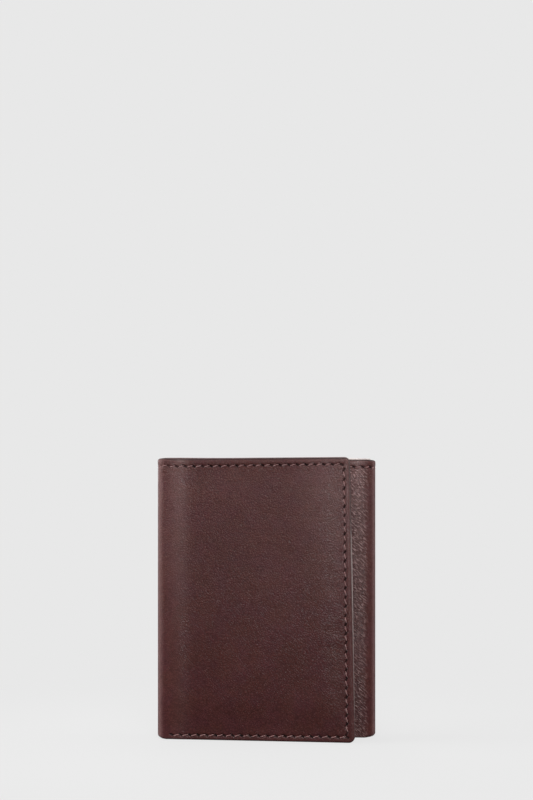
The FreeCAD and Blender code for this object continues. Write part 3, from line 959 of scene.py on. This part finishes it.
def make_pocket(node, body, near, gap, level, low):
    """One leaf and its slot, which is closed at its sides and floor; level counts from the highest leaf."""
    head = TOP_POCKET_HEAD - POCKET_STEP * level
    floor = TOP_POCKET_FLOOR - POCKET_STEP * level
    high = low + POCKET_WIDTH
    skin = Skin()
    leaf = near + gap
    cols = lines(low, high, 2.0, (low + POCKET_LINE, high - POCKET_LINE))
    rows = lines(POCKET_FOOT, head, 2.0, (head - MOUTH_LINE,))
    sheet(skin, cols, rows, even(leaf), pocket_face(leaf + LEAF, head), rim=LEAF / 2 - 0.005,
          corner=0.8, draped=False)
    for first, last in ((low, low + POCKET_RIM), (high - POCKET_RIM, high)):
        block(skin, first + 0.1, last - 0.1, POCKET_FOOT + 0.2, head - 0.3, near, leaf)
    block(skin, low + POCKET_RIM, high - POCKET_RIM, floor - POCKET_FLOOR, floor, near, leaf)
    lay_on(skin.make(node + "_leaf", POCKET), node, body)


def upright_seam(c, foot, head):
    """A row that runs up at one column, centred between foot and head."""
    count = whole_steps(head - foot)
    start = (foot + head - PITCH * (count - 1)) / 2
    return Seam((c, start), (0, 1), (1, 0), count)


def make_pocket_thread(node, body, depth, seams):
    """Stitches that show on the wallet's inner side."""
    make_rows(node, body, seams, even(depth), radius=POCKET_THREAD_R, inwards=True, draped=False)


def make_pockets():
    """Three stepped pockets on the back and two on the front flap, with the thread down their sides."""
    back_low = (BACK_START + BACK_END - POCKET_WIDTH) / 2
    stacks = {
        "back": ("back_panel", SLOT, ("top", "middle", "lower"), back_low),
        "front_flap": ("front_flap", FLAP_SLOT, ("top", "lower"), LEAN + SEAM_WIDTH),
    }
    for stack, (body, gap, levels, low) in stacks.items():
        for level, name in enumerate(levels):
            near = WALL_IN + level * (gap + LEAF)
            make_pocket(f"{stack}_{name}_pocket", body, near, gap, level, low)
        depth = WALL_IN + len(levels) * (gap + LEAF)
        head = TOP_POCKET_HEAD - POCKET_STEP * (len(levels) - 1)
        sides = (low + POCKET_LINE, low + POCKET_WIDTH - POCKET_LINE)
        make_pocket_thread(stack + "_pocket_thread", body, depth,
                           [upright_seam(side, POCKET_FOOT + 1.5, head - 1.0) for side in sides])


def rounded_loop(low_c, high_c, low_z, high_z, radius, per_side=24, per_corner=8):
    """Points anticlockwise round a rounded rectangle, in matching order for any size."""
    corners = ((high_c, high_z, 0), (low_c, high_z, 90), (low_c, low_z, 180), (high_c, low_z, 270))
    centre = np.array([(low_c + high_c) / 2, (low_z + high_z) / 2])
    arcs = []
    for c, z, first in corners:
        corner = np.array([c, z])
        middle = corner - np.copysign(radius, corner - centre)
        angles = np.radians(first + np.linspace(0, 90, per_corner))
        arcs.append(middle + radius * np.stack([np.cos(angles), np.sin(angles)], -1))
    steps = np.linspace(0, 1, per_side + 2)[1:-1, None]
    loop = []
    for arc, following in zip(arcs, arcs[1:] + arcs[:1]):
        loop += [arc, arc[-1] + (following[0] - arc[-1]) * steps]
    return np.concatenate(loop)


def surround_profile(near, far):
    """Once round a cut through the frame: share of the way from its outer edge to the opening, how far the
    loop there is drawn in, and depth."""
    half = (far - near) / 2
    angles = np.radians(np.linspace(0, 180, 7))
    outer_edge = [(0, half * (1 - math.sin(t)), near + half * (1 - math.cos(t))) for t in angles]
    inner_edge = [(1, -drawn, depth) for _, drawn, depth in reversed(outer_edge)]
    far_face = [(share, 0, far) for share in (0.2, 0.4, 0.6)]
    pressed_line = [(1, -1.9, far), (1, -1.6, far - 0.09), (1, -1.3, far)]
    near_face = [(share, 0, near) for share in (0.7, 0.3)]
    return outer_edge + far_face + pressed_line + inner_edge + near_face


def add_surround(skin, outer, opening, near, far):
    """Adds the frame's leather, a flat ring between two rounded rectangles."""
    rings, places = [], []
    inwards = np.array([1, -1, 1, -1])
    for share, drawn, depth in surround_profile(near, far):
        outer_loop = rounded_loop(*(np.array(outer) + inwards * drawn), FRAME_CORNER_R - drawn)
        inner_loop = rounded_loop(*(np.array(opening) + inwards * drawn), WINDOW_R - drawn)
        loop = outer_loop * (1 - share) + inner_loop * share
        rings.append(path.place(loop[:, 0], loop[:, 1], depth, draped=False))
        places.append(loop + depth)
    points, uv = np.stack(rings, 1), np.stack(places, 1)
    index = np.arange(points.shape[0] * points.shape[1]).reshape(points.shape[:2])
    ahead, beside = np.roll(index, -1, 0), np.roll(index, -1, 1)
    skin.add(points, uv, np.stack([index, beside, np.roll(beside, -1, 0), ahead], -1).reshape(-1, 4))


def make_window():
    """The framed card window inside the inner flap: a leather frame, its clear sheet and its thread."""
    low, high = INNER_START, path.end
    near = WALL_IN + SLOT
    frame_near = near + WINDOW_SHEET
    frame_far = frame_near + WINDOW_FRAME
    middle = high - POCKET_RIM - CARD_WIDTH / 2
    border = (WINDOW_HEAD - WINDOW[1]) / 2
    opening = (middle - WINDOW[0] / 2, middle + WINDOW[0] / 2, border, WINDOW_HEAD - border)
    skin = Skin()
    add_surround(skin, (low, high, POCKET_FOOT, WINDOW_HEAD), opening, frame_near, frame_far)
    for first, last in ((high - POCKET_RIM + 0.1, high - 0.1), (low + 0.1, low + 1.0)):
        block(skin, first, last, POCKET_FOOT + 0.2, WINDOW_HEAD - 0.3, WALL_IN, frame_near)
    floor = POCKET_FOOT + POCKET_FLOOR
    block(skin, low + 1.0, high - POCKET_RIM, POCKET_FOOT + 0.1, floor, WALL_IN, frame_near)
    lay_on(skin.make("window_surround", POCKET), "id_window_frame", "inner_flap")

    skin = Skin()
    cols = lines(opening[0] - WINDOW_LAP, opening[1] + WINDOW_LAP, 3.0)
    rows = lines(opening[2] - WINDOW_LAP, opening[3] + WINDOW_LAP, 3.0)
    sheet(skin, cols, rows, even(near), even(near + WINDOW_SHEET - 0.01), rim=0.08,
          corner=1.5, draped=False, rings=4)
    lay_on(skin.make("window_clear_sheet", CLEAR), "id_window_sheet", "inner_flap")

    foot_z = POCKET_FOOT + POCKET_LINE
    count = whole_steps(high - low - 4.0)
    foot = Seam((low + 2.0 + PITCH / 2, foot_z), (1, 0), (0, 1), count)
    side = upright_seam(high - POCKET_LINE, foot_z + 1.5, WINDOW_HEAD - 1.0)
    make_pocket_thread("id_window_thread", "inner_flap", frame_far, [side, foot])


make_covers()
make_walls()
make_linings()
make_leather_thread()
make_pockets()
make_window()


# -------- stage, light and camera
PALE = colour(232, 232, 232)
LENS = 50.3
LENS_SHIFT = (-0.0006, 0.1652)
CAMERA_PLACE = (0, -0.441, 0.0813)
ROOM_FRONT = 0.17
ROOM_BEHIND = 1.0
ROOM_GLOSS = 0.45  # the room is dimmer in reflections


def plain_floor():
    """Pale, with only a faint shadow close round the wallet."""
    n = Nodes(bpy.data.materials.new("pale_floor"))
    glow = n.add("ShaderNodeEmission", {"Color": PALE, "Strength": 1.0})
    matte = n.add("ShaderNodeBsdfDiffuse", {"Color": [0.5 * value for value in PALE]})
    place = n.add("ShaderNodeNewGeometry").outputs["Position"]
    away = n.add("ShaderNodeVectorMath", {0: place}, operation="LENGTH").outputs["Value"]
    blend = n.add("ShaderNodeMixShader", {0: n.remap(away, 0.05, 0.2, 0.12, 0.0), 1: glow.outputs[0],
                                          2: matte.outputs[0]})
    output = n.tree.nodes["Material Output"]
    n.tree.links.new(blend.outputs[0], output.inputs["Surface"])
    mesh = bpy.data.meshes.new("floor")
    half = 8.0
    corners = [(-half, -half, 0), (half, -half, 0), (half, half, 0), (-half, half, 0)]
    mesh.from_pydata(corners, [], [(0, 1, 2, 3)])
    mesh.materials.append(n.owner)
    floor = add_object("floor", mesh)
    floor.visible_diffuse = False
    floor.visible_glossy = False


def studio_world():
    """The camera sees an even pale field; the wallet is lit mostly from behind, at both sides and above."""
    n = Nodes(bpy.data.worlds.new("studio"))
    background = n.tree.nodes["Background"]
    towards = n.add("ShaderNodeSeparateXYZ", {0: n.add("ShaderNodeTexCoord").outputs["Generated"]})
    behind = n.remap(towards.outputs["Y"], -0.6, 0.3, ROOM_FRONT, ROOM_BEHIND)
    above = n.remap(towards.outputs["Z"], -0.3, 0.8, 0.5, 1.3)
    light = n.times(behind, above)
    ray = n.add("ShaderNodeLightPath").outputs
    light = n.times(light, n.remap(ray["Is Glossy Ray"], 0, 1, 1.0, ROOM_GLOSS))
    strength = n.add("ShaderNodeMix", {0: ray["Is Camera Ray"], 2: light, 3: 1.0}).outputs[0]
    n.feed(background, "Color", PALE)
    n.feed(background, "Strength", strength)
    bpy.context.scene.world = n.owner


def area_light(name, place, aim, size, power, in_gloss=True):
    """A soft box; one that isn't in gloss lights the leather without a reflection of its own."""
    data = bpy.data.lights.new(name, "AREA")
    data.shape = "RECTANGLE"
    data.size, data.size_y = size
    data.energy = power
    light = add_object(name, data)
    light.location = place
    light.rotation_euler = (Vector(aim) - Vector(place)).to_track_quat("-Z", "Y").to_euler()
    light.visible_camera = False
    light.visible_glossy = in_gloss


def set_camera():
    """Level, at the photo's angle, with the picture shifted up so that upright edges stay upright."""
    data = bpy.data.cameras.new("camera")
    data.lens = LENS
    data.shift_x, data.shift_y = LENS_SHIFT
    camera = add_object("camera", data)
    camera.location = CAMERA_PLACE
    camera.rotation_euler = (math.pi / 2, 0, 0)
    bpy.context.scene.camera = camera


plain_floor()
studio_world()
area_light("key", (0.16, -0.74, 0.31), (0, 0, 0.06), (0.16, 0.34), 3.6)
area_light("fill", (0.30, -0.66, 0.42), (0, 0, 0.09), (0.3, 0.36), 1.5, in_gloss=False)
area_light("top", (-0.05, -0.3, 0.5), (0, 0, 0.11), (0.2, 0.2), 1.35, in_gloss=False)
area_light("left", (-0.6, -0.22, 0.3), (-0.04, 0, 0.06), (0.3, 0.5), 1.2)
area_light("left_rim", (-0.55, -0.02, 0.3), (-0.04, 0, 0.06), (0.3, 0.5), 6.0, in_gloss=False)
area_light("right_rim", (0.55, 0.02, 0.3), (0.04, 0, 0.06), (0.3, 0.5), 3.0, in_gloss=False)
area_light("back", (-0.2, 0.75, 0.35), (0, 0, 0.06), (0.5, 0.4), 3.0)
set_camera()
bpy.context.scene.view_settings.view_transform = "Standard"
